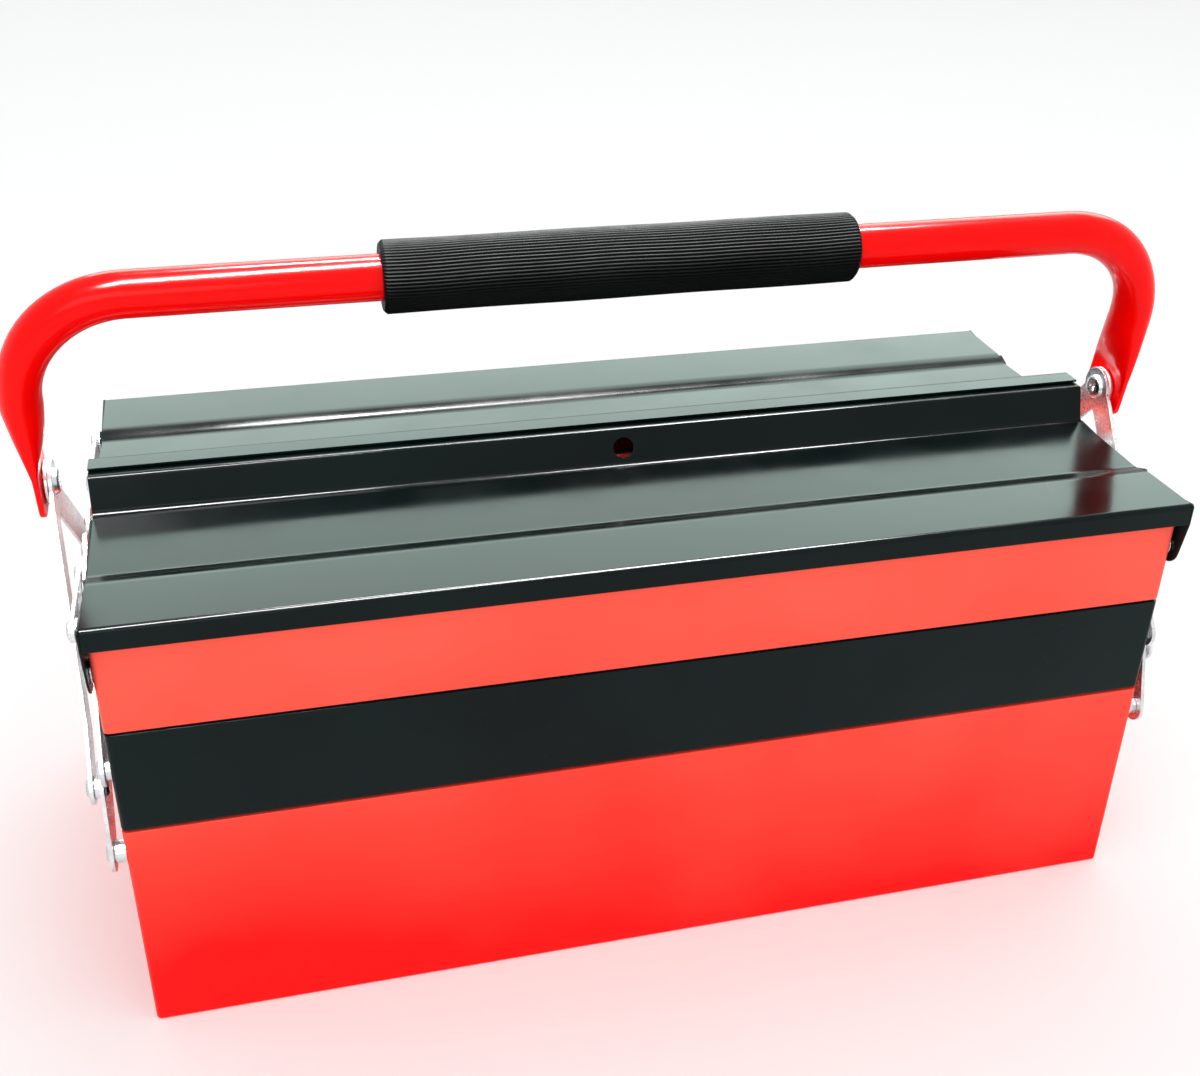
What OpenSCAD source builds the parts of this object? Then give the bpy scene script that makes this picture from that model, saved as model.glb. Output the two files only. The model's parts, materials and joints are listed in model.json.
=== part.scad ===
// Cantilever toolbox: a bottom box, two tiers of trays on parallel links, two lids and one handle.
// Lengths in millimetres. X runs along the box, -Y is the front, the origin is under the middle.

/* [Boxes] */
// Length of the boxes over their end walls
case_l = 456; // [420:1:520]
// Depth of the bottom box, front to back
case_d = 200; // [190:1:220]
// Height of the bottom box
box_h = 105; // [100:1:130]
// Height of each tray
tray_h = 47.4; // [44:0.2:52]
// Gap between one tier and the next
tier_gap = 0.6; // [0.4:0.1:1]
// Thickness of the sheet steel
sheet = 1; // [0.7:0.1:1.2]
// Depth of the folded hem inside each rim
hem_h = 5; // [3:0.5:8]

/* [Lids] */
// How far a lid stands past the front and back walls
lid_over_y = 5.8; // [5:0.1:8]
// How far a lid stands past each end wall
lid_over_x = 2; // [1.8:0.1:3]
// Depth of the lip along a lid's outer edge
lip_h = 9.8; // [8:0.1:16]
// Diameter of the padlock holes in the ridge
lock_d = 9; // [6:0.5:9]

/* [Linkage] */
// Lean of the levers when the box is shut
lever_lean = 40; // [36:1:42]
// Width of the long levers
lever_w = 16; // [12:1:16]
// Width of the short links
link_w = 14; // [10:1:15]
// Thickness of the levers and handle arms
bar_t = 1.6; // [1.5:0.1:2.2]
// Radius of a rivet's shank
shank_r = 2.5; // [2:0.1:3]
// Distance from a lever's lowest rivet to its arm rivet
crank_r = 29; // [27:0.5:30]
// Angle of that arm rivet from the vertical
crank_a = 16; // [12:1:18]
// Width of the handle arms
arm_w = 14; // [12:1:18]

/* [Handle] */
// Height of the handle bolts above the ground
bolt_z = 214.5; // [212:0.5:222]
// Diameter of the handle bolts
bolt_d = 8; // [6:0.5:8]
// Outer diameter of the handle tube
tube_d = 19; // [18:0.5:25]
// Wall of the handle tube
tube_wall = 1.5; // [1.2:0.1:2.5]
// Height of the handle bar above its bolts
bar_rise = 85.5; // [75:0.5:110]
// Radius of the handle's corner bends, on the tube's centre line
bend_r = 46; // [40:1:55]
// Distance from the middle to each handle leg
leg_x = 249; // [245:0.5:252]
// Forward lean of the handle at rest
handle_lean = 9.6; // [0:0.1:15]
// Length of the grip
grip_l = 202; // [120:1:240]
// Outer diameter of the grip
grip_d = 30; // [26:0.5:36]
// Offset of the grip along the bar
grip_shift = -3; // [-10:0.5:10]

/* [Hidden] */
$fn = 48;

red = "red";
black = [0.05, 0.05, 0.055];
zinc = [0.78, 0.79, 0.8];

half_l = case_l / 2;
half_d = case_d / 2;
pitch = tray_h + tier_gap;
mid_z = box_h + tier_gap;
top_z = mid_z + pitch;
rim_z = top_z + tray_h;
tray_gap = 1.5;                 // between the front and rear trays
lap = 0.2;                      // how far two parts of one solid run into each other
play = 0.05;                    // running clearance in every riveted joint

// Pivots of the front side, as [y, z], with the box shut.
lean = [sin(lever_lean), cos(lever_lean)];
step = [pitch * tan(lever_lean), pitch];
lever_foot = [8 - half_d, box_h - 15];
lever_mid = lever_foot + step;
lever_head = lever_mid + step;
lower_foot = [50 - half_d, box_h - 27];
lower_head = lower_foot + step;
upper_foot = [8.5 - half_d, mid_z + 26];
upper_head = upper_foot + step;
lid_pin = [6 - half_d, rim_z - 21];
lid_crank = 16 * lean;          // from a pivot to the lid link's rivet
arm_foot = lever_foot + crank_r * [sin(crank_a), cos(crank_a)];
bolt = [0, bolt_z];
arm_l = norm(bolt - arm_foot);
arm_a = atan2(-arm_foot[0], bolt_z - arm_foot[1]);

// Layers outside the end wall, by distance from the middle.
ear_x = half_l + lid_over_x - sheet;    // inner face of a lid's ears
link_x = half_l + 2.5;
link_t = 1.8;
lever_x = half_l + 4.8;
arm_x = half_l + 9;
arm_top_x = half_l + 15;                // inner face of the front arm at its bolt
arm_step = bar_t + 0.15;                // the rear arm lies outside the front one
plate_x = arm_top_x + 2 * arm_step + 0.3;
plate_t = 2 * tube_wall;
head_r = 4.5;
head_t = 1.4;
boss_r = 4.8;

// Lid section: panels, step and ridge, as [y, z] of the front lid's outer face.
lid_z = rim_z + 4;
edge_y = half_d + lid_over_y;
ridge_y = 13.5;
ledge_z = lid_z + 14.2;
hook_c = [-4.6, lid_z + 11];
hook_r = 4.8;

// Places a flat outline, drawn in y and z, as a plate of thickness t with its inner face at x.
module plate(x, t) {
  translate([x, 0, 0]) rotate([90, 0, 90]) linear_extrude(t) children();
}

// The same piece at both ends of the box.
module both_ends() {
  children();
  mirror([1, 0, 0]) children();
}

// The rear side is the front side turned about by a mirror.
module rear() {
  mirror([0, 1, 0]) children();
}

// A hole right through both ends, along X, at p = [y, z].
module hole(p, r) {
  translate([0, p[0], p[1]]) rotate([0, 90, 0]) cylinder(h = case_l + 60, r = r, center = true);
}

// A straight bar between two points, with round ends a hair wider than its edges.
module bar(p, q, w) {
  along = q - p;
  edge = w - 0.1;
  translate(p) circle(d = w);
  translate(q) circle(d = w);
  translate(p) rotate(atan2(along[1], along[0]))
    translate([0, -edge / 2]) square([norm(along), edge]);
}

// A rivet along X at p: head inside the wall, shank, boss up to the plate, outer head.
module rivet(p, wall_in, wall_out, plate_in, plate_out, inner_t = head_t) {
  inner = plate_in - play;
  outer = plate_out + play;
  translate([0, p[0], p[1]]) rotate([0, 90, 0]) rotate_extrude() polygon([
    [0, wall_in - inner_t], [head_r - 1.2, wall_in - inner_t], [head_r, wall_in - inner_t / 3],
    [head_r, wall_in], [shank_r, wall_in], [shank_r, wall_out],
    [boss_r, wall_out], [boss_r, inner], [shank_r, inner], [shank_r, outer],
    [head_r, outer], [head_r, outer + 0.5], [head_r - 1.2, outer + head_t], [0, outer + head_t]
  ]);
}

module wall_rivet(p, x, t) {
  rivet(p, half_l - sheet, half_l, x, x + t);
}

// Outline of a strip of thickness t, on the right-hand side of a path of points.
function unit(v) = v / norm(v);
function side(v) = [v[1], -v[0]];
function corner(path, i) =
  let (n = len(path) - 1,
       a = side(unit(path[i > 0 ? i : 1] - path[i > 0 ? i - 1 : 0])),
       b = side(unit(path[i < n ? i + 1 : n] - path[i < n ? i : n - 1])))
  (a + b) / (1 + a * b);
function strip(path, t) = concat(
  path, [for (i = [len(path) - 1:-1:0]) path[i] + t * corner(path, i)]);

// An open tray of folded sheet, from y0 to y1, with hems and holes for its end rivets.
module tray(y0, y1, z, h, pivots) {
  d = y1 - y0;
  difference() {
    translate([-half_l, y0, z]) cube([case_l, d, h]);
    translate([sheet - half_l, y0 + sheet, z + sheet])
      cube([case_l - 2 * sheet, d - 2 * sheet, h - sheet - hem_h]);
    translate([2 * sheet - half_l, y0 + 2 * sheet, z + sheet])
      cube([case_l - 4 * sheet, d - 4 * sheet, h]);
    for (p = pivots) hole(p, shank_r);
  }
}

// Upright dividers with a folded foot, set across a tray at each x in places.
module dividers(y0, y1, z, places) {
  inset = 2 * sheet + 0.3;
  height = tray_h - 14;
  for (x = places) {
    translate([x, y0 + inset, z + sheet]) cube([sheet, y1 - y0 - 2 * inset, height]);
    translate([x, y0 + inset, z + sheet]) cube([9, y1 - y0 - 2 * inset, sheet]);
  }
}

// A lid's outer face from its lip to the foot of the ridge. The front lid then ends in a ledge,
// and the rear lid, drawn the same way round, in a hook that laps over that ledge.
panel_path = [
  [-edge_y, lid_z - lip_h], [-edge_y, lid_z - 1.2], [1.2 - edge_y, lid_z],
  [-69, lid_z - 0.6], [-63, lid_z - 2.8], [-ridge_y, lid_z - 1.4]
];
ledge_path = concat(panel_path, [[-8.6, ledge_z - 0.8], [-7.2, ledge_z], [0.5, ledge_z]]);
hook_path = concat(
  panel_path, [for (a = [180:-15:90]) hook_c + hook_r * [cos(a), sin(a)]], [[4, hook_c[1] + hook_r]]);

// The lid's end: a narrow turned-down edge and the ear that carries its pin.
module lid_end_outline() {
  n = len(panel_path) - 1;
  top = [for (i = [1:n]) panel_path[i]];
  polygon(concat(top, [for (i = [n - 1:-1:0]) top[i] - [0, i == 0 ? lip_h - 1.2 : 3]]));
  translate(lid_pin) circle(r = 8);
  polygon([
    lid_pin + [-8, -1], [-edge_y, lid_z - lip_h], [-edge_y, lid_z - 1.2], [1.2 - edge_y, lid_z],
    lid_pin + lid_crank + [11, 10], lid_pin + lid_crank + [7, -4], lid_pin + [5.2, -6]
  ]);
}

module lid_sheet(path) {
  difference() {
    union() {
      plate(-ear_x - lap, 2 * (ear_x + lap)) polygon(strip(path, sheet));
      both_ends() plate(ear_x, sheet) lid_end_outline();
    }
    hole(lid_pin, shank_r + play);
    hole(lid_pin + lid_crank, shank_r);
    translate([0, 0, lid_z + 3.4]) rotate([90, 0, 0])
      cylinder(h = 2 * ridge_y + 6, d = lock_d, center = true);
  }
}

module long_lever() {
  plate(lever_x, bar_t) difference() {
    union() {
      bar(lever_foot, lever_head, lever_w);
      bar(lever_foot, arm_foot, lever_w);
      polygon([lever_foot, arm_foot, lever_mid]);
    }
    for (p = [lever_foot, lever_mid, lever_head]) translate(p) circle(r = shank_r + play);
    translate(arm_foot) circle(r = shank_r);
  }
}

// A short link from p to q, drilled at each [point, radius].
module short_link(p, q, drilled) {
  plate(link_x, link_t) difference() {
    bar(p, q, link_w);
    for (d = drilled) translate(d[0]) circle(r = d[1]);
  }
}

module lid_link() {
  plate(lever_x, bar_t) difference() {
    bar(upper_head + lid_crank, lid_pin + lid_crank, 10);
    translate(upper_head + lid_crank) circle(r = shank_r + play);
    translate(lid_pin + lid_crank) circle(r = shank_r + play);
  }
}

// A handle arm: flat at its foot, sloping outwards, and flat again round its bolt.
module handle_arm(rise, bore_r) {
  face = [[-14, 0], [24, 0], [arm_l - 13, rise], [arm_l + 14, rise]];
  translate([arm_x, arm_foot[0], arm_foot[1]]) rotate([-arm_a, 0, 0]) difference() {
    intersection() {
      rotate([90, 0, 0]) linear_extrude(arm_w * 2, center = true)
        polygon(strip([for (p = face) [p[1], p[0]]], bar_t));
      translate([-5, 0, 0]) rotate([90, 0, 90]) linear_extrude(rise + 12) union() {
        translate([-arm_w / 2, 0]) square([arm_w, arm_l]);
        circle(d = arm_w);
        translate([0, arm_l]) circle(r = arm_w / 2 + 2.5);
      }
    }
    translate([-20, 0, 0]) rotate([0, 90, 0]) cylinder(h = 60, r = shank_r + play);
    translate([-20, 0, arm_l]) rotate([0, 90, 0]) cylinder(h = 60, r = bore_r);
  }
}

module tube_ring() {
  difference() {
    circle(d = tube_d);
    circle(d = tube_d - 2 * tube_wall);
  }
}

// A block across the handle, drawn in x and z.
module across(points) {
  rotate([90, 0, 0]) linear_extrude(tube_d * 2, center = true) polygon(points);
}

// A handle leg, upright about its bolt: round tube above, pressed flat below.
module handle_leg() {
  neck = 10;                    // height of the flat part above the bolt
  foot = 10;                    // depth of the plate below the bolt
  clip = 3.5;                   // the plate's clipped corners
  crease = [plate_x - 2.3, neck + 10];
  top = bar_rise - bend_r - 1.5;
  half_w = tube_d * 0.76;
  r = tube_d / 2;
  bore_r = r - tube_wall;
  in_x = leg_x - r - 0.5;
  out_x = leg_x + r + 0.5;
  wall = 1.8;
  translate([leg_x, 0, top - 1.5]) linear_extrude(3) tube_ring();
  difference() {
    intersection() {
      across([
        [in_x, top + 1], [in_x, top - 2], crease, [plate_x, neck], [plate_x, -foot],
        [plate_x + plate_t, -foot], [plate_x + plate_t, neck], [out_x, top - 2], [out_x, top + 1]
      ]);
      plate(leg_x - 30, 60) polygon([
        [-r - 1, top + 1], [-half_w + 0.9, neck + 8], [-half_w, neck], [-half_w, clip - foot],
        [clip - half_w, -foot - 1], [half_w - clip, -foot - 1], [half_w, clip - foot],
        [half_w, neck], [half_w - 0.9, neck + 8], [r + 1, top + 1]
      ]);
      translate([leg_x, 0, 0]) rotate_extrude()
        polygon([[0, -14], [18, -14], [18, neck], [r - 0.2, top], [0, top]]);
    }
    intersection() {
      across([
        [in_x + wall, top + 1.5], [in_x + wall, top - 2], crease + [wall, 0],
        [plate_x + plate_t / 2, neck + 2.5], [out_x - wall, top - 2], [out_x - wall, top + 1.5]
      ]);
      translate([leg_x, 0, 0]) rotate_extrude()
        polygon([[0, neck], [half_w - wall, neck], [bore_r + 0.2, top + 0.5], [0, top + 0.5]]);
    }
    translate([plate_x - 20, 0, 0]) rotate([0, 90, 0]) cylinder(h = 40, r = bolt_d / 2 + play);
  }
}

module handle_pose() {
  translate([0, 0, bolt_z]) rotate([handle_lean, 0, 0]) children();
}

// A body of revolution along X at the handle bolt, from [radius, x] points.
module on_bolt(points) {
  handle_pose() rotate([0, 90, 0]) rotate_extrude() polygon(points);
}

module bottom_box() {
  pivots = [for (p = [lever_foot, lower_foot]) each [p, [-p[0], p[1]]]];
  color(red) tray(-half_d, half_d, 0, box_h, pivots);
}

module bottom_box_rivets() {
  color(zinc) for (s = [0, 1]) mirror([0, s, 0]) both_ends() {
    wall_rivet(lever_foot, lever_x, bar_t);
    wall_rivet(lower_foot, link_x, link_t);
  }
}

module front_mid_tray() {
  color(black) tray(-half_d, -tray_gap / 2, mid_z, tray_h, [lever_mid, lower_head, upper_foot]);
}

module front_mid_tray_dividers() {
  color(black) dividers(-half_d, -tray_gap / 2, mid_z, [-case_l / 6]);
}

module front_mid_tray_rivets() {
  color(zinc) both_ends() {
    wall_rivet(lever_mid, lever_x, bar_t);
    wall_rivet(lower_head, link_x, link_t);
    wall_rivet(upper_foot, link_x, link_t);
  }
}

module front_top_tray() {
  color(red) tray(-half_d, -tray_gap / 2, top_z, tray_h, [lever_head, upper_head, lid_pin]);
}

module front_top_tray_dividers() {
  color(red) dividers(-half_d, -tray_gap / 2, top_z, [-case_l / 5, case_l / 5]);
}

module front_top_tray_rivets() {
  color(zinc) both_ends() {
    wall_rivet(lever_head, lever_x, bar_t);
    wall_rivet(upper_head, link_x, link_t);
    wall_rivet(lid_pin, ear_x, sheet);
  }
}

module front_lid() {
  color(black) lid_sheet(ledge_path);
}

module lid_rivets() {
  color(zinc) both_ends()
    rivet(lid_pin + lid_crank, ear_x, ear_x + sheet, lever_x, lever_x + bar_t, 0.6);
}

module front_lid_rivets() {
  lid_rivets();
}

module front_levers() {
  color(zinc) both_ends() long_lever();
}

module front_lower_links() {
  color(zinc) both_ends() short_link(lower_foot, lower_head, [
    [lower_foot, shank_r + play], [lower_head, shank_r + play]
  ]);
}

module front_upper_links() {
  color(zinc) both_ends() short_link(upper_foot, upper_head + lid_crank, [
    [upper_foot, shank_r + play], [upper_head, shank_r + play], [upper_head + lid_crank, shank_r]
  ]);
}

module front_upper_link_rivets() {
  color(zinc) both_ends()
    rivet(upper_head + lid_crank, link_x, link_x + link_t, lever_x, lever_x + bar_t);
}

module front_lid_links() {
  color(zinc) both_ends() lid_link();
}

module front_handle_arms() {
  color(zinc) both_ends() handle_arm(arm_top_x - arm_x, bolt_d / 2);
}

module front_arm_rivets() {
  color(zinc) both_ends() rivet(arm_foot, lever_x, lever_x + bar_t, arm_x, arm_x + bar_t);
}

module rear_mid_tray() {
  rear() front_mid_tray();
}

module rear_mid_tray_dividers() {
  rear() front_mid_tray_dividers();
}

module rear_mid_tray_rivets() {
  rear() front_mid_tray_rivets();
}

module rear_top_tray() {
  rear() front_top_tray();
}

module rear_top_tray_dividers() {
  rear() front_top_tray_dividers();
}

module rear_top_tray_rivets() {
  rear() front_top_tray_rivets();
}

module rear_lid() {
  color(black) rear() lid_sheet(hook_path);
}

module rear_lid_rivets() {
  rear() lid_rivets();
}

module rear_levers() {
  rear() front_levers();
}

module rear_lower_links() {
  rear() front_lower_links();
}

module rear_upper_links() {
  rear() front_upper_links();
}

module rear_upper_link_rivets() {
  rear() front_upper_link_rivets();
}

module rear_lid_links() {
  rear() front_lid_links();
}

// The bolts ride on the front arms, so the rear arms' holes leave room for the linkage.
module rear_handle_arms() {
  color(zinc) rear() both_ends() handle_arm(arm_top_x + arm_step - arm_x, bolt_d / 2 + 1.3);
}

module rear_arm_rivets() {
  rear() front_arm_rivets();
}

module handle_tube() {
  bar_half = leg_x - bend_r;
  color(red) handle_pose() union() {
    translate([-bar_half, 0, bar_rise]) rotate([0, 90, 0]) linear_extrude(2 * bar_half) tube_ring();
    both_ends() {
      handle_leg();
      translate([bar_half, 0, bar_rise - bend_r]) rotate([90, 0, 0]) rotate_extrude(angle = 90)
        translate([bend_r, 0]) tube_ring();
    }
  }
}

module handle_grip() {
  color(black) handle_pose() translate([grip_shift - grip_l / 2, 0, bar_rise]) rotate([0, 90, 0])
    rotate_extrude() polygon([
      [tube_d / 2, 0], [grip_d / 2 - 1.5, 0], [grip_d / 2, 1.5],
      [grip_d / 2, grip_l - 1.5], [grip_d / 2 - 1.5, grip_l], [tube_d / 2, grip_l]
    ]);
}

// A low bolt through both arms and the plate, with a hexagon socket in its inner head.
module handle_bolts() {
  inner = arm_top_x;
  outer = plate_x + plate_t + 0.1;
  color(zinc) both_ends() difference() {
    on_bolt([
      [0, inner - 2.2], [4, inner - 2.2], [5.4, inner - 1.5], [6, inner], [bolt_d / 2, inner],
      [bolt_d / 2, outer], [6, outer], [5.2, outer + 1.1], [0, outer + 1.1]
    ]);
    handle_pose() translate([inner - 3, 0, 0]) rotate([0, 90, 0]) cylinder(h = 2.4, d = 5.2, $fn = 6);
  }
}

bottom_box();
bottom_box_rivets();
front_mid_tray();
front_mid_tray_dividers();
front_mid_tray_rivets();
front_top_tray();
front_top_tray_dividers();
front_top_tray_rivets();
front_lid();
front_lid_rivets();
front_levers();
front_lower_links();
front_upper_links();
front_upper_link_rivets();
front_lid_links();
front_handle_arms();
front_arm_rivets();
rear_mid_tray();
rear_mid_tray_dividers();
rear_mid_tray_rivets();
rear_top_tray();
rear_top_tray_dividers();
rear_top_tray_rivets();
rear_lid();
rear_lid_rivets();
rear_levers();
rear_lower_links();
rear_upper_links();
rear_upper_link_rivets();
rear_lid_links();
rear_handle_arms();
rear_arm_rivets();
handle_tube();
handle_grip();
handle_bolts();
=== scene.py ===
"""A cantilever toolbox with trays: folded enamelled boxes and lids, zinc linkage, tube handle.

Lengths are in metres and turns in radians, unless a name's own comment says otherwise.
"""

import json
import logging
import math
from dataclasses import dataclass, field
from enum import Enum

import bmesh
import bpy
from bmesh.types import BMEdge, BMesh, BMFace, BMVert
from mathutils import Matrix, Vector

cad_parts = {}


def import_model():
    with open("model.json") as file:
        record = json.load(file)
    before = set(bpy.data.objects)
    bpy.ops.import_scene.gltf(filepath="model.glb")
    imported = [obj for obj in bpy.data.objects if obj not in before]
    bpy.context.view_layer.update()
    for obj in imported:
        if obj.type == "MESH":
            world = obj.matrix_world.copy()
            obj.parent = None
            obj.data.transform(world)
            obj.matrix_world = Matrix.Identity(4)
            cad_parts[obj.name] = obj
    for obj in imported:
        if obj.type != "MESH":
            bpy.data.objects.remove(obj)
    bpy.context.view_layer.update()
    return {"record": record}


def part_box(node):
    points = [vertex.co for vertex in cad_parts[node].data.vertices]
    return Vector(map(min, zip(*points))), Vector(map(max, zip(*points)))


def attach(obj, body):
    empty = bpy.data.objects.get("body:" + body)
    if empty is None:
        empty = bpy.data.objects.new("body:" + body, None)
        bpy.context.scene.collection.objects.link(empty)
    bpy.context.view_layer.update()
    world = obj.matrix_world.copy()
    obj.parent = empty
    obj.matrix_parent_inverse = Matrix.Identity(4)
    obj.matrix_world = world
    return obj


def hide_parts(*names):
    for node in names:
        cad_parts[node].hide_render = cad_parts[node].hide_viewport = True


LOG = logging.getLogger("toolbox")
MM = 0.001

SMOOTH_ANGLE = math.radians(38)
BEVEL_ANGLE = math.radians(40)
FLAT_ANGLE = math.radians(1)
ON_PLANE = 1e-5
WELD = 2e-6
CUT = 1e-7

NOISE_LOW, NOISE_HIGH = 0.3, 0.7
# Share of the enamel colour that follows height: a painted sheen, lighter towards the top.
PAINTED_SHEEN_SHARE = 0.62

# The finish of each kind of fitting, and how far its edges are rounded.
FITTINGS = {
    "rivets": ("bright_zinc", 0.3 * MM),
    "bolts": ("bright_zinc", 0.25 * MM),
    "levers": ("zinc_plate", 0.35 * MM),
    "links": ("zinc_plate", 0.35 * MM),
    "arms": ("zinc_plate", 0.35 * MM),
}


class Side(Enum):
    """The two mirrored sides of the box, as the frame's nodes and bodies spell them."""

    FRONT = "front"
    REAR = "rear"


class Grain(Enum):
    """How a finish's fine pattern runs; the value is its stretch along X, Y and Z."""

    EVEN = (1.0, 1.0, 1.0)
    ROLLED = (0.06, 1.0, 1.0)
    RUBBER = (0.5, 1.0, 1.0)


class Nodes:
    """A material's node tree while it is being made."""

    def __init__(self, name: str) -> None:
        """Starts a material with its Principled shader and Object coordinates.

        Args:
            name: The material's name.
        """
        self.material = bpy.data.materials.new(name)
        self.material.use_nodes = True
        self.tree = self.material.node_tree
        self.shader = self.tree.nodes["Principled BSDF"]
        self.place = self.tree.nodes.new("ShaderNodeTexCoord").outputs["Object"]

    def set(self, **values: object) -> None:
        """Sets constants on the shader's own sockets; an underscore stands for a space."""
        for key, value in values.items():
            self.shader.inputs[key.replace("_", " ")].default_value = value

    def noise(self, scale: float, detail: float, stretch: tuple[float, float, float]) -> object:
        """A noise pattern fixed to the object.

        Args:
            scale: Cycles a metre.
            detail: Octaves of the noise.
            stretch: Factors along X, Y and Z; below 1 draws the pattern out.

        Returns:
            The noise's value socket.
        """
        mapping = self.tree.nodes.new("ShaderNodeMapping")
        mapping.inputs["Scale"].default_value = stretch
        self.tree.links.new(self.place, mapping.inputs["Vector"])
        made = self.tree.nodes.new("ShaderNodeTexNoise")
        made.inputs["Scale"].default_value = scale
        made.inputs["Detail"].default_value = detail
        self.tree.links.new(mapping.outputs["Vector"], made.inputs["Vector"])
        return made.outputs["Fac"]

    def ramp(self, value: object, low: tuple, high: tuple, socket: str) -> None:
        """Runs a value through a two-colour ramp into a shader socket.

        Args:
            value: The socket that drives the ramp.
            low: Position and colour of the ramp's first stop.
            high: Position and colour of its second stop.
            socket: The shader's input.
        """
        made = self.tree.nodes.new("ShaderNodeValToRGB")
        for stop, (position, colour) in zip(made.color_ramp.elements, (low, high)):
            stop.position = position
            stop.color = (*colour, 1.0)
        self.tree.links.new(value, made.inputs["Fac"])
        self.tree.links.new(made.outputs["Color"], self.shader.inputs[socket])

    def rise(self, value: object, low: float, high: float) -> object:
        """Blends a noise value with height, a painted sheen that makes the colour lighter towards
        the top.

        Args:
            value: The noise's socket.
            low: The height where the painted sheen begins and the colour is deepest, in metres.
            high: The height where the painted sheen is full and the colour is lightest.

        Returns:
            The blended value socket.
        """
        # Painted sheen: height pushes the colour ramp towards its light end higher up the piece.
        apart = self.tree.nodes.new("ShaderNodeSeparateXYZ")
        self.tree.links.new(self.place, apart.inputs["Vector"])
        height = self.tree.nodes.new("ShaderNodeMapRange")
        height.inputs["From Min"].default_value = low
        height.inputs["From Max"].default_value = high
        self.tree.links.new(apart.outputs["Z"], height.inputs["Value"])
        blend = self.tree.nodes.new("ShaderNodeMix")
        blend.inputs["Factor"].default_value = PAINTED_SHEEN_SHARE
        self.tree.links.new(value, blend.inputs["A"])
        self.tree.links.new(height.outputs["Result"], blend.inputs["B"])
        return blend.outputs["Result"]

    def span(self, value: object, low: float, high: float, socket: str) -> None:
        """Maps a noise value onto a range of a shader socket.

        Args:
            value: The noise's socket.
            low: What the socket gets where the noise is low.
            high: What it gets where the noise is high.
            socket: The shader's input.
        """
        made = self.tree.nodes.new("ShaderNodeMapRange")
        made.inputs["From Min"].default_value = NOISE_LOW
        made.inputs["From Max"].default_value = NOISE_HIGH
        made.inputs["To Min"].default_value = low
        made.inputs["To Max"].default_value = high
        self.tree.links.new(value, made.inputs["Value"])
        self.tree.links.new(made.outputs["Result"], self.shader.inputs[socket])

    def bump(self, layers: list[tuple[object, float, float]]) -> None:
        """Stacks bump layers on the shader's normal.

        Args:
            layers: Each layer's height socket, strength, and depth in metres.
        """
        below = None
        for height, strength, depth in layers:
            made = self.tree.nodes.new("ShaderNodeBump")
            made.inputs["Strength"].default_value = strength
            made.inputs["Distance"].default_value = depth
            self.tree.links.new(height, made.inputs["Height"])
            if below is not None:
                self.tree.links.new(below, made.inputs["Normal"])
            below = made.outputs["Normal"]
        self.tree.links.new(below, self.shader.inputs["Normal"])


@dataclass(frozen=True)
class Enamel:
    """Glossy baked enamel on sheet steel, a little uneven where the sheet is not quite flat.

    The patterns' sizes are in cycles a metre and their depths in metres.
    """

    name: str
    deep: tuple[float, float, float]
    light: tuple[float, float, float]
    index: float
    roughness: tuple[float, float] = (0.16, 0.26)
    # Heights in metres between which the colour is painted lighter upwards, a painted sheen; None
    # for none.
    painted_sheen_heights: tuple[float, float] | None = None
    cloud: float = 7.0
    cloud_stops: tuple[float, float] = (0.3, 0.75)
    sheen: float = 26.0
    wave: float = 9.0
    wave_depth: float = 0.0012
    wave_strength: float = 0.25
    peel: float = 650.0
    peel_depth: float = 0.00008
    peel_strength: float = 0.10

    def make(self) -> bpy.types.Material:
        """Builds the enamel's material.

        Returns:
            The material.
        """
        nodes = Nodes(self.name)
        nodes.set(IOR=self.index)
        even = Grain.EVEN.value
        cloud = nodes.noise(self.cloud, detail=3.0, stretch=even)
        # Painted sheen: where heights are given, the colour turns lighter towards the top.
        if self.painted_sheen_heights:
            cloud = nodes.rise(cloud, *self.painted_sheen_heights)
        first, last = self.cloud_stops
        nodes.ramp(cloud, (first, self.deep), (last, self.light), "Base Color")
        sheen = nodes.noise(self.sheen, detail=4.0, stretch=even)
        nodes.span(sheen, *self.roughness, "Roughness")
        waves = nodes.noise(self.wave, detail=1.0, stretch=even)
        peel = nodes.noise(self.peel, detail=2.0, stretch=even)
        nodes.bump([
            (waves, self.wave_strength, self.wave_depth),
            (peel, self.peel_strength, self.peel_depth),
        ])
        return nodes.material


@dataclass(frozen=True)
class Zinc:
    """Zinc plate on pressed or turned steel, its patterns in cycles a metre."""

    name: str
    dark: tuple[float, float, float]
    bright: tuple[float, float, float]
    roughness: tuple[float, float]
    grain: Grain
    cloud: float = 120.0
    cloud_stops: tuple[float, float] = (0.3, 0.68)
    streak: float = 900.0
    scratch: float = 1400.0
    scratch_depth: float = 0.00005
    scratch_strength: float = 0.12

    def make(self) -> bpy.types.Material:
        """Builds the plated metal's material.

        Returns:
            The material.
        """
        nodes = Nodes(self.name)
        nodes.set(Metallic=1.0)
        cloud = nodes.noise(self.cloud, detail=5.0, stretch=Grain.EVEN.value)
        first, last = self.cloud_stops
        nodes.ramp(cloud, (first, self.dark), (last, self.bright), "Base Color")
        streaks = nodes.noise(self.streak, detail=3.0, stretch=self.grain.value)
        nodes.span(streaks, *self.roughness, "Roughness")
        scratches = nodes.noise(self.scratch, detail=2.0, stretch=self.grain.value)
        nodes.bump([(scratches, self.scratch_strength, self.scratch_depth)])
        return nodes.material


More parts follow.
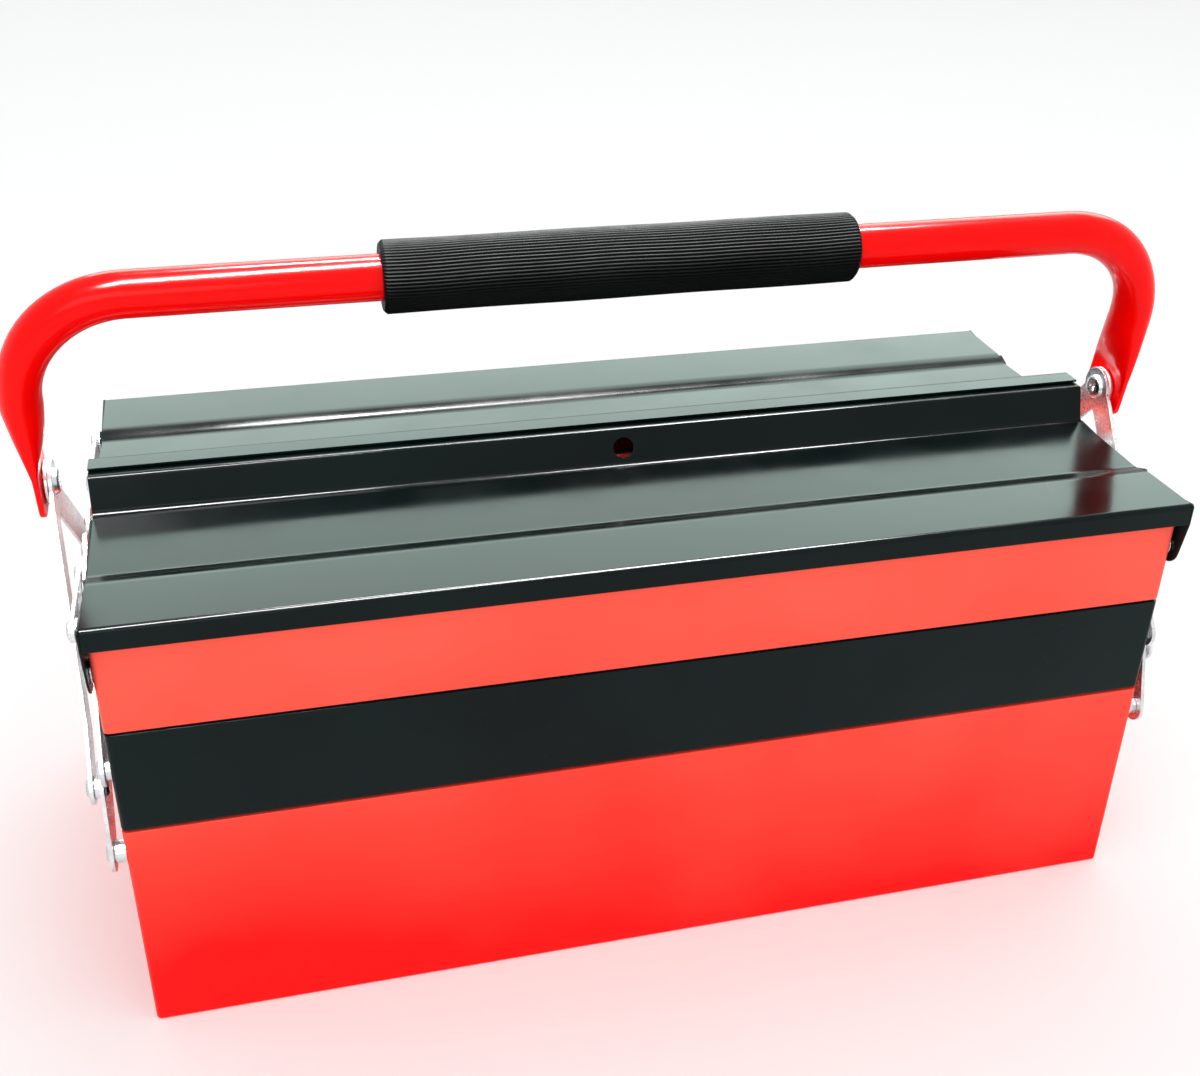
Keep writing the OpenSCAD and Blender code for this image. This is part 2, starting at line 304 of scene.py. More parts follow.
@dataclass(frozen=True)
class Rubber:
    """Matt black rubber with a little dust on it, its patterns in cycles a metre."""

    name: str
    dark: tuple[float, float, float]
    dusty: tuple[float, float, float]
    index: float = 1.15
    roughness: tuple[float, float] = (0.42, 0.58)
    dust: float = 60.0
    dust_stops: tuple[float, float] = (0.35, 0.75)
    sheen: float = 220.0
    grit: float = 1500.0
    grit_depth: float = 0.00012
    grit_strength: float = 0.2

    def make(self) -> bpy.types.Material:
        """Builds the rubber's material.

        Returns:
            The material.
        """
        nodes = Nodes(self.name)
        nodes.set(IOR=self.index)
        grain = Grain.RUBBER.value
        first, last = self.dust_stops
        dust = nodes.noise(self.dust, detail=5.0, stretch=grain)
        nodes.ramp(dust, (first, self.dark), (last, self.dusty), "Base Color")
        sheen = nodes.noise(self.sheen, detail=4.0, stretch=grain)
        nodes.span(sheen, *self.roughness, "Roughness")
        grit = nodes.noise(self.grit, detail=3.0, stretch=grain)
        nodes.bump([(grit, self.grit_strength, self.grit_depth)])
        return nodes.material


class Finishes:
    """Every finish of the toolbox, each built once."""

    def __init__(self) -> None:
        """Builds the materials."""
        finishes = (
            # The red enamel's light stop is partly random tone and partly a painted sheen, lighter
            # towards the top from -0.03 to 0.2 m.
            Enamel("red_enamel", (0.93, 0.0005, 0.0002), (0.99, 0.105, 0.068), index=1.24,
                   painted_sheen_heights=(-0.03, 0.2)),
            Enamel("black_enamel", (0.0010, 0.0045, 0.0042), (0.0030, 0.0120, 0.0112),
                   index=1.22, roughness=(0.12, 0.21)),
            Enamel("handle_red", (0.93, 0.0005, 0.0002), (0.98, 0.001, 0.001), index=1.22,
                   roughness=(0.12, 0.2), wave_depth=0.0002),
            Rubber("grip_rubber", (0.0005, 0.001, 0.001), (0.002, 0.003, 0.003)),
            Zinc("zinc_plate", (0.60, 0.61, 0.62), (0.80, 0.80, 0.81), (0.22, 0.4),
                 Grain.ROLLED),
            Zinc("bright_zinc", (0.58, 0.59, 0.61), (0.78, 0.79, 0.81), (0.16, 0.3),
                 Grain.EVEN),
        )
        self.made = {finish.name: finish.make() for finish in finishes}

    def dress(self, piece: bpy.types.Object, name: str) -> None:
        """Gives a piece one finish all over.

        Args:
            piece: The object.
            name: The finish's name, which is the slot's name too.
        """
        piece.data.materials.clear()
        piece.data.materials.append(self.made[name])


def along(axis: int, value: float) -> Vector:
    """Makes a vector that lies along one axis.

    Args:
        axis: 0 for X, 1 for Y and 2 for Z.
        value: Its length, negative for the other way.

    Returns:
        The vector.
    """
    made = Vector((0.0, 0.0, 0.0))
    made[axis] = value
    return made


def of_type(geometry: list, kind: type) -> list:
    """The elements of one type in an operator's result."""
    return [g for g in geometry if isinstance(g, kind)]


def push(bm: BMesh, face: BMFace, move: Vector) -> BMFace:
    """Extrudes one face and moves it.

    Args:
        bm: The mesh.
        face: The face to extrude.
        move: How far the new face moves.

    Returns:
        The new face.
    """
    made = bmesh.ops.extrude_face_region(bm, geom=[face])["geom"]
    bmesh.ops.translate(bm, vec=move, verts=of_type(made, BMVert))
    if face.is_valid:
        bmesh.ops.delete(bm, geom=[face], context="FACES_ONLY")
    return of_type(made, BMFace)[0]


def edges_at(bm: BMesh, axis: int, value: float) -> list[BMEdge]:
    """The edges that lie in a plane across one axis."""
    return [
        e for e in bm.edges
        if all(abs(v.co[axis] - value) < ON_PLANE for v in e.verts)
    ]


def round_off(bm: BMesh, edges: list[BMEdge], radius: float, segments: int = 3) -> None:
    """Bevels edges into a round fold.

    Args:
        bm: The mesh.
        edges: The edges to round.
        radius: The bevel's width.
        segments: Steps across the bevel.
    """
    bmesh.ops.bevel(bm, geom=edges, offset=radius, offset_type="OFFSET", affect="EDGES",
                    segments=segments, profile=0.5, material=-1, clamp_overlap=True)


def slab(bm: BMesh, outline: list[tuple[float, float]], x: float, thick: float) -> None:
    """Adds a closed plate across X.

    Args:
        bm: The mesh.
        outline: The plate's corners, in Y and Z.
        x: Its face nearer the middle of the box.
        thick: Its thickness, negative towards -X.
    """
    verts = [bm.verts.new((x, y, z)) for y, z in outline]
    face = bmesh.ops.contextual_create(bm, geom=verts)["faces"][0]
    made = bmesh.ops.extrude_face_region(bm, geom=[face], use_keep_orig=True)["geom"]
    bmesh.ops.translate(bm, vec=along(0, thick), verts=of_type(made, BMVert))


def mark_sharp(bm: BMesh) -> None:
    """Shades every face smooth and keeps a hard line at each true corner.

    Args:
        bm: The mesh.
    """
    for face in bm.faces:
        face.smooth = True
    for edge in bm.edges:
        edge.smooth = edge.is_manifold and edge.calc_face_angle(0.0) < SMOOTH_ANGLE


@dataclass
class Maker:
    """Turns finished meshes into pieces of the toolbox."""

    finishes: Finishes

    def piece(self, bm: BMesh, name: str, finish: str, body: str,
              nodes: list[str]) -> bpy.types.Object:
        """Makes an object from a mesh, dresses it and seats it in the frame.

        Args:
            bm: The mesh, which is used up.
            name: The piece's name.
            finish: The name of its finish.
            body: The frame's body it rides on.
            nodes: The frame's nodes it stands for.

        Returns:
            The new object.
        """
        mark_sharp(bm)
        mesh = bpy.data.meshes.new(name)
        bm.to_mesh(mesh)
        bm.free()
        made = bpy.data.objects.new(name, mesh)
        bpy.context.scene.collection.objects.link(made)
        normals = made.modifiers.new("even_normals", "WEIGHTED_NORMAL")
        normals.keep_sharp = True
        self.finishes.dress(made, finish)
        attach(made, body)
        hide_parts(*nodes)
        LOG.info("%s rides on %s, %d faces", name, body, len(mesh.polygons))
        return made


@dataclass
class FoldedTray:
    """A box folded from sheet: rounded corners and folds, and a hem turned in at the rim."""

    node: str
    body: str
    finish: str
    sheet: float = 1.0 * MM
    hem: float = 5.0 * MM
    corner: float = 2.4 * MM
    fold: float = 1.3 * MM
    rim: float = 0.75 * MM

    def mesh(self) -> BMesh:
        """Builds the box to the frame's size.

        Returns:
            The closed mesh.
        """
        low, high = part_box(self.node)
        middle, size = (low + high) / 2, high - low
        bm = bmesh.new()
        bmesh.ops.create_cube(
            bm, size=1.0, matrix=Matrix.Translation(middle) @ Matrix.Diagonal((*size, 1.0)))
        upright = [e for e in bm.edges if abs(e.verts[0].co.z - e.verts[1].co.z) > ON_PLANE]
        round_off(bm, upright, self.corner)
        round_off(bm, edges_at(bm, 2, low.z), self.fold)
        bm.faces.ensure_lookup_table()
        well = max(bm.faces, key=lambda f: f.calc_center_median().z)
        bmesh.ops.inset_region(bm, faces=[well], thickness=2 * self.sheet, use_even_offset=True)
        # The well goes down inside the hem, widens by the hem's thickness, and goes on down.
        well = push(bm, well, along(2, -self.hem))
        well = push(bm, well, Vector())
        wider = [1 + 2 * self.sheet / (size[i] - 4 * self.sheet) for i in (0, 1)]
        bmesh.ops.scale(bm, vec=(*wider, 1.0), verts=well.verts,
                        space=Matrix.Translation(-middle))
        push(bm, well, along(2, low.z + self.sheet - high.z + self.hem))
        round_off(bm, edges_at(bm, 2, high.z), self.rim)
        bmesh.ops.recalc_face_normals(bm, faces=bm.faces)
        return bm

    def build(self, maker: Maker) -> None:
        """Makes the piece."""
        maker.piece(self.mesh(), self.node + "_shell", self.finish, self.body, [self.node])


@dataclass
class FoldedLid:
    """One lid: a sheet folded along the box, with a lip, a step, a ridge and two end ears.

    Places are pairs of Y and Z on the front lid; the rear lid is its mirror image, but for the
    hook that its ridge ends in.
    """

    side: Side
    top: float = 205.0 * MM
    edge: float = 105.8 * MM
    lip: float = 9.8 * MM
    step: tuple[float, float] = (-69.0 * MM, 204.4 * MM)
    tread: tuple[float, float] = (-63.0 * MM, 202.2 * MM)
    foot: tuple[float, float] = (-13.5 * MM, 203.6 * MM)
    sheet: float = 1.0 * MM
    half_length: float = 229.0 * MM
    crest: tuple[float, float] = (-8.6 * MM, 219.2 * MM)
    ledge_end: float = 0.5 * MM
    crest_fold: float = 1.3 * MM
    sharp_fold: float = 2.2 * MM
    slow_fold: float = 4.0 * MM
    hook_centre: tuple[float, float] = (-4.6 * MM, 216.0 * MM)
    hook_radius: float = 4.8 * MM
    hook_end: float = 4.0 * MM
    hook_steps: int = 9
    fold_steps: int = 4
    padlock_z: float = 208.4 * MM
    padlock_drop: float = 0.35
    padlock_radius: float = 4.5 * MM
    padlock_margin: float = 1.5 * MM
    rim_cuts: int = 7
    pin: tuple[float, float] = (-95.0 * MM, 180.0 * MM)
    ear_radius: float = 8.0 * MM
    ear_arc: tuple[float, ...] = tuple(math.radians(a) for a in range(188, 331, 15))
    ear_root: tuple[float, float] = (-77.5 * MM, 188.4 * MM)
    ear_shoulder: tuple[float, float] = (-73.7 * MM, 200.4 * MM)
    end_depth: float = 3.0 * MM
    corner: float = 1.2 * MM
    cut_edge: float = 0.3 * MM
    panel: list[tuple[float, float]] = field(init=False)

    def __post_init__(self) -> None:
        """Works out the panels' section from the lip to the foot of the ridge."""
        self.panel = [
            (-self.edge, self.top - self.lip), (-self.edge, self.top), self.step, self.tread,
            self.foot,
        ]

    def section(self, bm: BMesh) -> None:
        """Draws the lid's section as a chain of edges at its left end.

        Args:
            bm: The mesh to draw in.
        """
        points = list(self.panel)
        if self.side is Side.FRONT:
            points += [self.crest, (self.ledge_end, self.crest[1])]
        else:
            points.append((self.hook_centre[0] - self.hook_radius, self.hook_centre[1]))
        chain = [bm.verts.new((-self.half_length, y, z)) for y, z in points]
        for first, second in zip(chain, chain[1:]):
            bm.edges.new((first, second))
        if self.side is Side.REAR:
            turned = bmesh.ops.spin(
                bm, geom=[chain[-1]], cent=(-self.half_length, *self.hook_centre),
                axis=(1.0, 0.0, 0.0), angle=-math.pi / 2, steps=self.hook_steps)["geom_last"]
            top = of_type(turned, BMVert)[0]
            bm.edges.new((top, bm.verts.new((top.co.x, self.hook_end, top.co.z))))
            bmesh.ops.remove_doubles(bm, verts=bm.verts, dist=ON_PLANE)

    def fold_edges(self, bm: BMesh) -> None:
        """Rounds each fold of the sheet.

        Args:
            bm: The lid's unfolded strips.
        """
        radii = (self.sharp_fold, self.slow_fold, self.slow_fold, self.sharp_fold)
        folds = list(zip(self.panel[1:], radii))
        if self.side is Side.FRONT:
            folds.append((self.crest, self.crest_fold))
        for place, radius in folds:
            fold = [e for e in bm.edges if self.runs_at(e, *place)]
            round_off(bm, fold, radius, self.fold_steps)

    @staticmethod
    def runs_at(edge: BMEdge, y: float, z: float) -> bool:
        """Says whether an edge runs along the box at one point of the section."""
        return all(abs(v.co.y - y) + abs(v.co.z - z) < ON_PLANE for v in edge.verts)

    def pierce(self, bm: BMesh) -> None:
        """Cuts the padlock hole in the ridge wall.

        A stretch of the wall is taken out between two lines across it, and the gap is bridged
        to a circle. The circle lies a share of the way, padlock_drop, from the middle of the
        wall down to padlock_z.

        Args:
            bm: The lid's open sheet.
        """
        reach = self.padlock_radius + self.padlock_margin
        for x in (-reach, reach):
            bmesh.ops.bisect_plane(bm, geom=[*bm.verts, *bm.edges, *bm.faces], dist=CUT,
                                   plane_co=(x, 0.0, 0.0), plane_no=(1.0, 0.0, 0.0))
        places = {f: f.calc_center_median() for f in bm.faces}
        ridge = [f for f, place in places.items()
                 if abs(place.x) < reach / 2 and self.foot[0] < place.y < self.crest[0]]
        wall = max(ridge, key=lambda f: f.calc_area())
        centre, normal = places[wall], wall.normal.copy()
        centre.z += (self.padlock_z - centre.z) * self.padlock_drop
        border = list(wall.edges)
        cut = bmesh.ops.bisect_edges(bm, edges=border, cuts=self.rim_cuts)["geom_split"]
        rim = [e for e in {*of_type(cut, BMEdge), *border} if wall in e.link_faces]
        bmesh.ops.delete(bm, geom=[wall], context="FACES_ONLY")
        turn = normal.to_track_quat("Z", "Y").to_matrix().to_4x4()
        ring = bmesh.ops.create_circle(
            bm, radius=self.padlock_radius, segments=len(rim),
            matrix=Matrix.Translation(centre) @ turn)["verts"]
        hole = list({e for v in ring for e in v.link_edges})
        bmesh.ops.bridge_loops(bm, edges=rim + hole)

    def ears(self, bm: BMesh) -> None:
        """Adds the turned-down ends with the ears that carry the pins.

        Args:
            bm: The lid's mesh.
        """
        y, z = self.pin
        radius = self.ear_radius
        arc = [(y + radius * math.cos(a), z + radius * math.sin(a)) for a in self.ear_arc]
        outline = [
            (-self.edge + self.corner, self.top), self.step, self.tread, self.foot,
            (self.foot[0], self.foot[1] - self.end_depth),
            (self.tread[0], self.tread[1] - self.end_depth),
            self.ear_shoulder, self.ear_root, *reversed(arc),
            (-self.edge, self.top - self.lip), (-self.edge, self.top - self.corner),
        ]
        for sign in (-1, 1):
            slab(bm, outline, sign * self.half_length, sign * self.sheet)

    def mesh(self) -> BMesh:
        """Builds the lid.

        Returns:
            The closed mesh.
        """
        bm = bmesh.new()
        self.section(bm)
        made = bmesh.ops.extrude_edge_only(bm, edges=list(bm.edges))["geom"]
        bmesh.ops.translate(bm, vec=along(0, 2 * self.half_length), verts=of_type(made, BMVert))
        self.fold_edges(bm)
        bmesh.ops.recalc_face_normals(bm, faces=bm.faces)
        widest = max(bm.faces, key=lambda f: f.calc_area())
        if widest.normal.z < 0:
            bmesh.ops.reverse_faces(bm, faces=bm.faces)
        self.pierce(bm)
        bmesh.ops.solidify(bm, geom=bm.faces, thickness=self.sheet)
        self.ears(bm)
        bmesh.ops.recalc_face_normals(bm, faces=bm.faces)
        if self.side is Side.REAR:
            bmesh.ops.scale(bm, vec=(1.0, -1.0, 1.0), verts=bm.verts)
            bmesh.ops.reverse_faces(bm, faces=bm.faces)
        return bm

    def build(self, maker: Maker) -> None:
        """Makes the piece, with its cut edges lightly rounded.

        Args:
            maker: Turns the mesh into a piece.
        """
        node = self.side.value + "_lid"
        made = maker.piece(self.mesh(), node + "_sheet", "black_enamel", node, [node])
        soften(made, self.cut_edge)


def soften(piece: bpy.types.Object, width: float) -> None:
    """Rounds a piece's hard edges with a live bevel.

    Args:
        piece: The object.
        width: The bevel's width.
    """
    made = piece.modifiers.new("worn_edges", "BEVEL")
    made.width = width
    made.segments = 2
    made.limit_method = "ANGLE"
    made.angle_limit = BEVEL_ANGLE
    piece.modifiers.move(len(piece.modifiers) - 1, 0)


@dataclass
class PressedSteel:
    """Zinc-plated steel of the linkage and its fasteners, with the burr taken off its edges."""

    node: str
    body: str
    finish: str
    edge: float

    def build(self, maker: Maker) -> None:
        """Makes the piece from a welded copy of the frame's solid.

        Args:
            maker: Turns the mesh into a piece.
        """
        source = bpy.data.objects[self.node]
        bm = bmesh.new()
        bm.from_mesh(source.data)
        bmesh.ops.remove_doubles(bm, verts=bm.verts, dist=WELD)
        bmesh.ops.dissolve_limit(bm, angle_limit=FLAT_ANGLE, verts=bm.verts, edges=bm.edges)
        made = maker.piece(bm, self.node + "_steel", self.finish, self.body, [self.node])
        soften(made, self.edge)


@dataclass
class TubeHandle:
    """The carrying handle: one steel tube, bent twice and pressed flat at its ends.

    The sections are in millimetres, upwards from the bolt. One of the foot is its height, half
    its thickness and half its width. One of the press is its height, its middle, half its
    thickness, half its width, and how round it is: 1 for a circle, towards 0 for flat faces.
    """

    bolt_z: float = 214.5 * MM
    lean: float = math.radians(9.6)
    radius: float = 9.5 * MM
    rise: float = 85.5 * MM
    bend: float = 46.0 * MM
    leg_x: float = 249.0 * MM
    plate_x: float = 248.3 * MM
    segments: int = 48
    bend_steps: int = 20
    fill_rate: float = 1.5
    foot_press: float = 0.2
    foot: tuple[tuple[float, float, float], ...] = (
        (-10.0, 1.1, 10.6), (-9.7, 1.4, 11.3), (-8.4, 1.5, 12.9), (-6.5, 1.5, 14.2),
        (-4.2, 1.5, 14.4), (4.2, 1.5, 14.4), (9.0, 1.5, 14.4))
    press: tuple[tuple[float, float, float, float, float], ...] = (
        (11.0, 248.3, 1.7, 14.4, 0.24), (13.5, 248.4, 2.3, 14.3, 0.30),
        (16.5, 248.5, 3.3, 14.0, 0.42), (20.0, 248.6, 4.5, 13.6, 0.55),
        (24.0, 248.7, 5.7, 13.1, 0.66), (28.5, 248.8, 6.8, 12.5, 0.75),
        (33.0, 248.9, 7.6, 11.9, 0.82), (37.0, 249.0, 8.2, 11.3, 0.88),
        (39.5, 249.0, 8.5, 11.0, 0.90))

    def ring(self, bm: BMesh, z: float, x: float, thick: float, wide: float,
             press: float) -> list[BMEdge]:
        """Draws one cross-section of a leg, from round to pressed flat.

        Args:
            bm: The mesh.
            z: Its height above the bolt.
            x: Its middle.
            thick: Half its size along the bar.
            wide: Half its size front to back.
            press: 1 for round, towards 0 for flat faces.

        Returns:
            The ring's edges.
        """
        verts = bmesh.ops.create_circle(bm, radius=1.0, segments=self.segments)["verts"]
        edges = list({e for v in verts for e in v.link_edges})
        for v in verts:
            flat = math.copysign(abs(v.co.x) ** press, v.co.x)
            v.co = Vector((x + thick * flat, wide * v.co.y, z))
        return edges

    def leg(self, bm: BMesh) -> list[BMEdge]:
        """Builds the right leg from its plate up to its bend.

        Args:
            bm: The mesh.

        Returns:
            The edges of the ring under the bend.
        """
        rings = [
            self.ring(bm, z * MM, self.plate_x, thick * MM, wide * MM, self.foot_press)
            for z, thick, wide in self.foot]
        rings += [
            self.ring(bm, z * MM, x * MM, thick * MM, wide * MM, press)
            for z, x, thick, wide, press in self.press]
        for lower, upper in zip(rings, rings[1:]):
            bmesh.ops.bridge_loops(bm, edges=lower + upper)
        bmesh.ops.edgeloop_fill(bm, edges=rings[0])
        return rings[-1]

    def corner(self, bm: BMesh, last: list[BMEdge]) -> list[BMEdge]:
        """Carries the leg round its bend while it fills out to a round tube.

        Args:
            bm: The mesh.
            last: The edges of the ring under the bend.

        Returns:
            The edges of the round ring at the end of the bend.
        """
        _, x, thick, wide, press = self.press[-1]
        middle = Vector((self.leg_x - self.bend, 0.0, self.rise - self.bend))
        for i in range(1, self.bend_steps + 1):
            part = i / self.bend_steps
            ease = min(1.0, part * self.fill_rate)
            ease = ease * ease * (3 - 2 * ease)
            made = self.ring(
                bm, middle.z, x * MM + (self.leg_x - x * MM) * ease,
                thick * MM + (self.radius - thick * MM) * ease,
                wide * MM + (self.radius - wide * MM) * ease, press + (1 - press) * ease)
            bmesh.ops.rotate(
                bm, cent=middle, matrix=Matrix.Rotation(-math.pi / 2 * part, 3, "Y"),
                verts=list({v for e in made for v in e.verts}))
            bmesh.ops.bridge_loops(bm, edges=last + made)
            last = made
        return last

    def mesh(self) -> BMesh:
        """Builds the whole tube, leaning at its rest angle.

        Returns:
            The closed mesh.
        """
        bm = bmesh.new()
        end = self.corner(bm, self.leg(bm))
        made = bmesh.ops.extrude_edge_only(bm, edges=end)["geom"]
        bmesh.ops.translate(bm, vec=along(0, self.bend - self.leg_x), verts=of_type(made, BMVert))
        bmesh.ops.mirror(bm, geom=[*bm.verts, *bm.edges, *bm.faces], axis="X", merge_dist=ON_PLANE)
        bmesh.ops.remove_doubles(bm, verts=bm.verts, dist=ON_PLANE)
        bmesh.ops.recalc_face_normals(bm, faces=bm.faces)
        bmesh.ops.transform(bm, matrix=self.pose(), verts=bm.verts)
        return bm

    def pose(self) -> Matrix:
        """The handle's place: upright about its bolts, then leaning forward."""
        return Matrix.Translation(along(2, self.bolt_z)) @ Matrix.Rotation(self.lean, 4, "X")

    def build(self, maker: Maker) -> None:
        """Makes the piece."""
        maker.piece(self.mesh(), "handle_bent_tube", "handle_red", "handle", ["handle_tube"])


@dataclass
class RibbedGrip:
    """A rubber sleeve on the bar with fine ribs along it that wander a little.

    Each wave of the wander has its size, its rate over the length and its phase, in radians.
    """

    handle: TubeHandle
    length: float = 202.0 * MM
    radius: float = 14.9 * MM
    shift: float = -3.0 * MM
    ribs: int = 62
    points_per_rib: int = 6
    depth: float = 0.5 * MM
    sharpness: float = 1.5
    stations: int = 28
    chamfer: float = 1.4 * MM
    plain_part: float = 0.6
    wander: tuple[tuple[float, float, float], ...] = ((0.02, 9.0, 1.0), (0.008, 23.0, 0.0))
    wear: float = 0.12 * MM
    wear_waves: tuple[float, float] = (14.0, 2.0)

    def mesh(self) -> BMesh:
        """Builds the sleeve along the bar.

        Returns:
            The closed mesh.
        """
        bm = bmesh.new()
        bore = self.handle.radius
        start = self.shift - self.length / 2
        turn = Matrix.Rotation(math.pi / 2, 4, "Y")
        first = bmesh.ops.create_circle(
            bm, radius=bore, segments=self.ribs * self.points_per_rib,
            matrix=Matrix.Translation(along(0, start)) @ turn)["verts"]
        edges = inner = list({e for v in first for e in v.link_edges})
        outer = self.radius / bore
        inset = (self.radius - self.chamfer) / bore
        run = self.length - 2 * self.chamfer
        moves = [(0.0, inset), (self.chamfer, outer / inset)]
        moves += [(run / self.stations, 1.0)] * self.stations
        moves += [(self.chamfer, inset / outer), (0.0, 1 / inset)]
        for step, grow in moves:
            made = bmesh.ops.extrude_edge_only(bm, edges=edges)["geom"]
            verts, edges = of_type(made, BMVert), of_type(made, BMEdge)
            edges = [e for e in edges if all(v in set(verts) for v in e.verts)]
            bmesh.ops.translate(bm, vec=along(0, step), verts=verts)
            bmesh.ops.scale(bm, vec=(1.0, grow, grow), verts=verts)
        bmesh.ops.bridge_loops(bm, edges=inner + edges)
        self.rib(bm, start)
        bmesh.ops.recalc_face_normals(bm, faces=bm.faces)
        bar = self.handle.pose() @ Matrix.Translation(along(2, self.handle.rise))
        bmesh.ops.transform(bm, matrix=bar, verts=bm.verts)
        return bm

    def rib(self, bm: BMesh, start: float) -> None:
        """Presses the ribs into the sleeve and lets them wander.

        Args:
            bm: The sleeve, along X through the origin.
            start: Its left end.
        """
        along_wave, round_wave = self.wear_waves
        for v in bm.verts:
            radial = Vector((0.0, v.co.y, v.co.z))
            if radial.length < self.radius - self.plain_part * self.chamfer:
                continue
            part = (v.co.x - start) / self.length
            angle = math.atan2(v.co.z, v.co.y)
            groove = 0.5 - 0.5 * math.cos(self.ribs * angle)
            worn = self.wear * (math.sin(along_wave * part + round_wave * angle) - 1)
            radius = self.radius - self.depth * groove ** self.sharpness + worn
            angle += sum(size * math.sin(rate * part + phase) for size, rate, phase in self.wander)
            v.co = Vector((v.co.x, radius * math.cos(angle), radius * math.sin(angle)))

    def build(self, maker: Maker) -> None:
        """Makes the piece."""
        maker.piece(self.mesh(), "handle_ribbed_grip", "grip_rubber", "handle", ["handle_grip"])


@dataclass
class Toolbox:
    """The whole toolbox as its sub-assemblies."""

    maker: Maker

    def boxes(self) -> None:
        """Builds the bottom box and the four trays, and dresses the dividers."""
        FoldedTray("bottom_box", "bottom_box", "red_enamel").build(self.maker)
        for side in Side:
            for tier, finish in (("mid_tray", "black_enamel"), ("top_tray", "red_enamel")):
                node = f"{side.value}_{tier}"
                FoldedTray(node, node, finish).build(self.maker)
                self.maker.finishes.dress(bpy.data.objects[node + "_dividers"], finish)

    def lids(self) -> None:
        """Builds both lids."""
        for side in Side:
            FoldedLid(side).build(self.maker)

    def linkage(self, bodies: dict[str, list[str]]) -> None:
        """Builds the levers, links and arms, and every rivet and bolt.

        Args:
            bodies: The nodes on each body of the frame.
        """
        for body, nodes in bodies.items():
            for node in nodes:
                kind = node.rsplit("_", 1)[-1]
                if kind in FITTINGS:
                    PressedSteel(node, body, *FITTINGS[kind]).build(self.maker)

    def handle(self) -> None:
        """Builds the tube and its grip."""
        tube = TubeHandle()
        tube.build(self.maker)
        RibbedGrip(tube).build(self.maker)


@dataclass(frozen=True)
class Softbox:
    """One flat soft light, with its power in watts."""

    name: str
    place: tuple[float, float, float]
    size: tuple[float, float]
    power: float
    colour: tuple[float, float, float] = (1.0, 1.0, 1.0)
    gloss_only: bool = True

    def hang(self, target: tuple[float, float, float]) -> None:
        """Adds the light to the scene.

        Args:
            target: What it faces.
        """
        data = bpy.data.lights.new(self.name, "AREA")
        data.shape = "RECTANGLE"
        data.size, data.size_y = self.size
        data.energy = self.power
        data.color = self.colour
        made = bpy.data.objects.new(self.name, data)
        aim = (Vector(target) - Vector(self.place)).to_track_quat("-Z", "Y")
        made.matrix_world = Matrix.Translation(self.place) @ aim.to_matrix().to_4x4()
        made.visible_diffuse = not self.gloss_only
        bpy.context.scene.collection.objects.link(made)


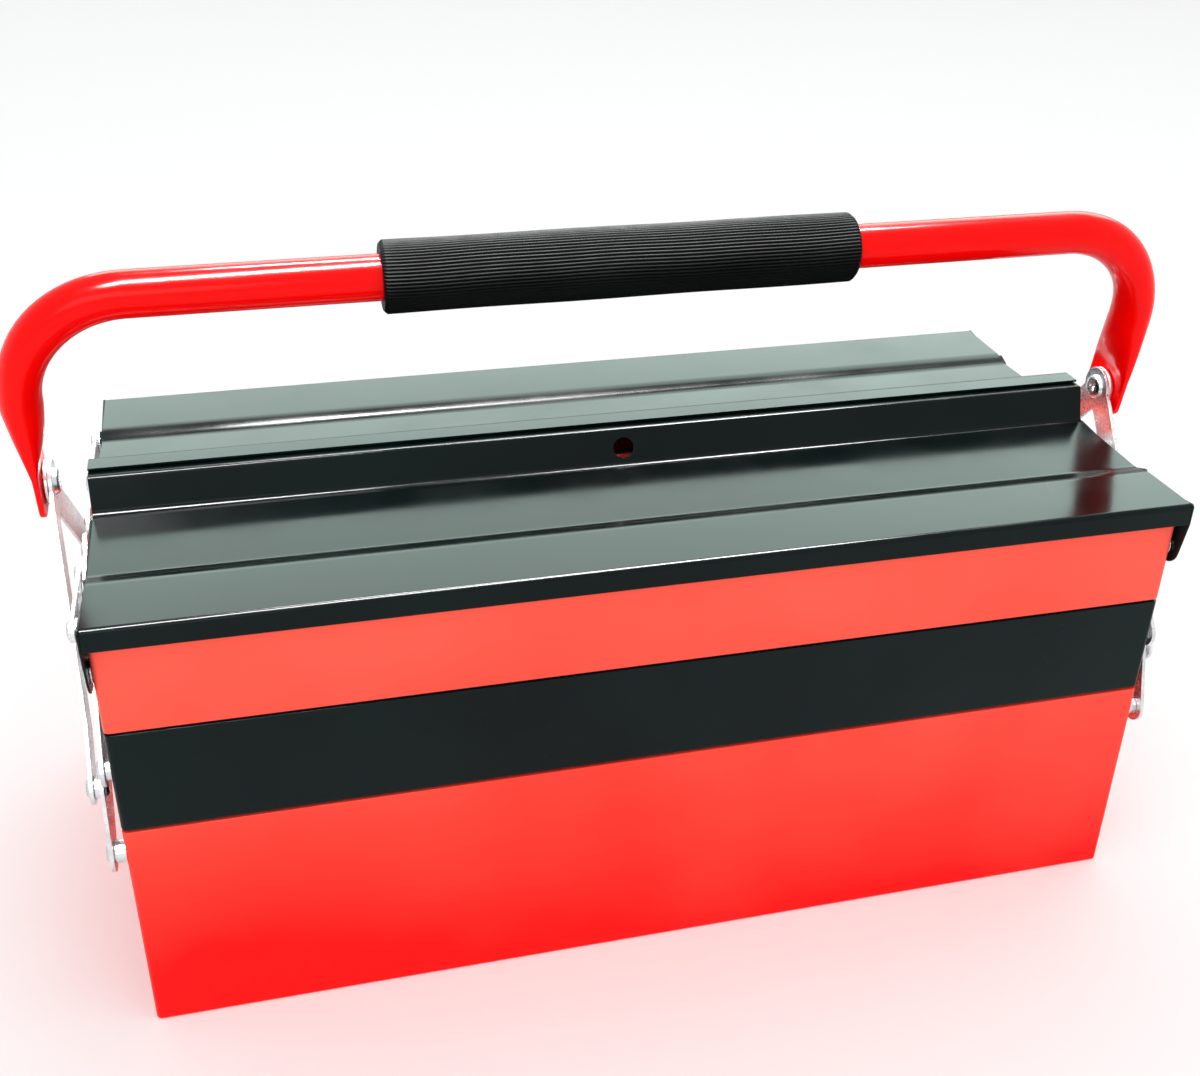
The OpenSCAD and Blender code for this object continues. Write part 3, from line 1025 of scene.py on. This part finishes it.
@dataclass
class Studio:
    """A pale floor, soft light and the camera, whose lens and sensor are in millimetres."""

    eye: tuple[float, float, float] = (-0.1561, -0.5732, 0.4926)
    yaw: float = 0.254
    pitch: float = 0.513
    roll: float = 0.019
    lens: float = 43.15
    sensor: float = 36.0
    nearest: float = 0.01
    floor_size: float = 40.0
    floor_shade: float = 0.90
    floor_roughness: float = 0.9
    floor_shine: float = 0.1
    sky: float = 0.96
    middle: tuple[float, float, float] = (0.0, 0.0, 0.12)
    softboxes: tuple[Softbox, ...] = (
        Softbox("overhead", (0.2, -0.1, 2.2), (1.6, 1.2), 6.0, gloss_only=False),
        Softbox("front_fill", (-0.9, -2.2, 1.2), (1.6, 0.9), 11.0, gloss_only=False),
        Softbox("back_panel", (0.9, 2.6, 1.75), (4.4, 1.5), 112.0, colour=(0.78, 1.0, 0.92)),
        Softbox("edge_strip", (0.1, -0.1, 2.3), (2.6, 0.36), 560.0),
        Softbox("step_strip", (0.4, 1.1, 2.3), (1.3, 0.36), 240.0),
    )

    def camera(self) -> None:
        """Makes the scene's camera."""
        ahead = Vector((
            math.sin(self.yaw) * math.cos(self.pitch),
            math.cos(self.yaw) * math.cos(self.pitch),
            -math.sin(self.pitch)))
        level = Vector((math.cos(self.yaw), -math.sin(self.yaw), 0.0))
        upright = level.cross(ahead)
        right = math.cos(self.roll) * level + math.sin(self.roll) * upright
        up = math.cos(self.roll) * upright - math.sin(self.roll) * level
        data = bpy.data.cameras.new("camera")
        data.lens = self.lens
        data.sensor_width = self.sensor
        data.clip_start = self.nearest
        made = bpy.data.objects.new("camera", data)
        turn = Matrix((right, up, -ahead)).transposed()
        made.matrix_world = Matrix.Translation(self.eye) @ turn.to_4x4()
        bpy.context.scene.collection.objects.link(made)
        bpy.context.scene.camera = made

    def floor(self) -> None:
        """Lays the floor."""
        bm = bmesh.new()
        bmesh.ops.create_grid(bm, x_segments=1, y_segments=1, size=self.floor_size / 2)
        mesh = bpy.data.meshes.new("floor")
        bm.to_mesh(mesh)
        bm.free()
        nodes = Nodes("floor")
        nodes.set(Base_Color=(*[self.floor_shade] * 3, 1.0), Roughness=self.floor_roughness,
                  Specular_IOR_Level=self.floor_shine)
        mesh.materials.append(nodes.material)
        made = bpy.data.objects.new("floor", mesh)
        bpy.context.scene.collection.objects.link(made)

    def light(self) -> None:
        """Sets the sky and hangs the soft lights."""
        world = bpy.data.worlds.new("studio")
        bpy.context.scene.world = world
        world.use_nodes = True
        backdrop = world.node_tree.nodes["Background"]
        backdrop.inputs["Color"].default_value = (1.0, 1.0, 1.0, 1.0)
        backdrop.inputs["Strength"].default_value = self.sky
        for softbox in self.softboxes:
            softbox.hang(self.middle)

    def build(self) -> None:
        """Makes the camera, floor and lights."""
        bpy.context.scene.view_settings.view_transform = "Standard"
        self.camera()
        self.floor()
        self.light()


def main() -> None:
    """Builds the toolbox around its frame."""
    logging.basicConfig(level=logging.INFO, format="%(name)s: %(message)s")
    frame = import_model()
    Studio().build()
    toolbox = Toolbox(Maker(Finishes()))
    toolbox.boxes()
    toolbox.lids()
    toolbox.linkage(frame["record"]["behaviour"]["bodies"])
    toolbox.handle()


if __name__ == "__main__":
    main()
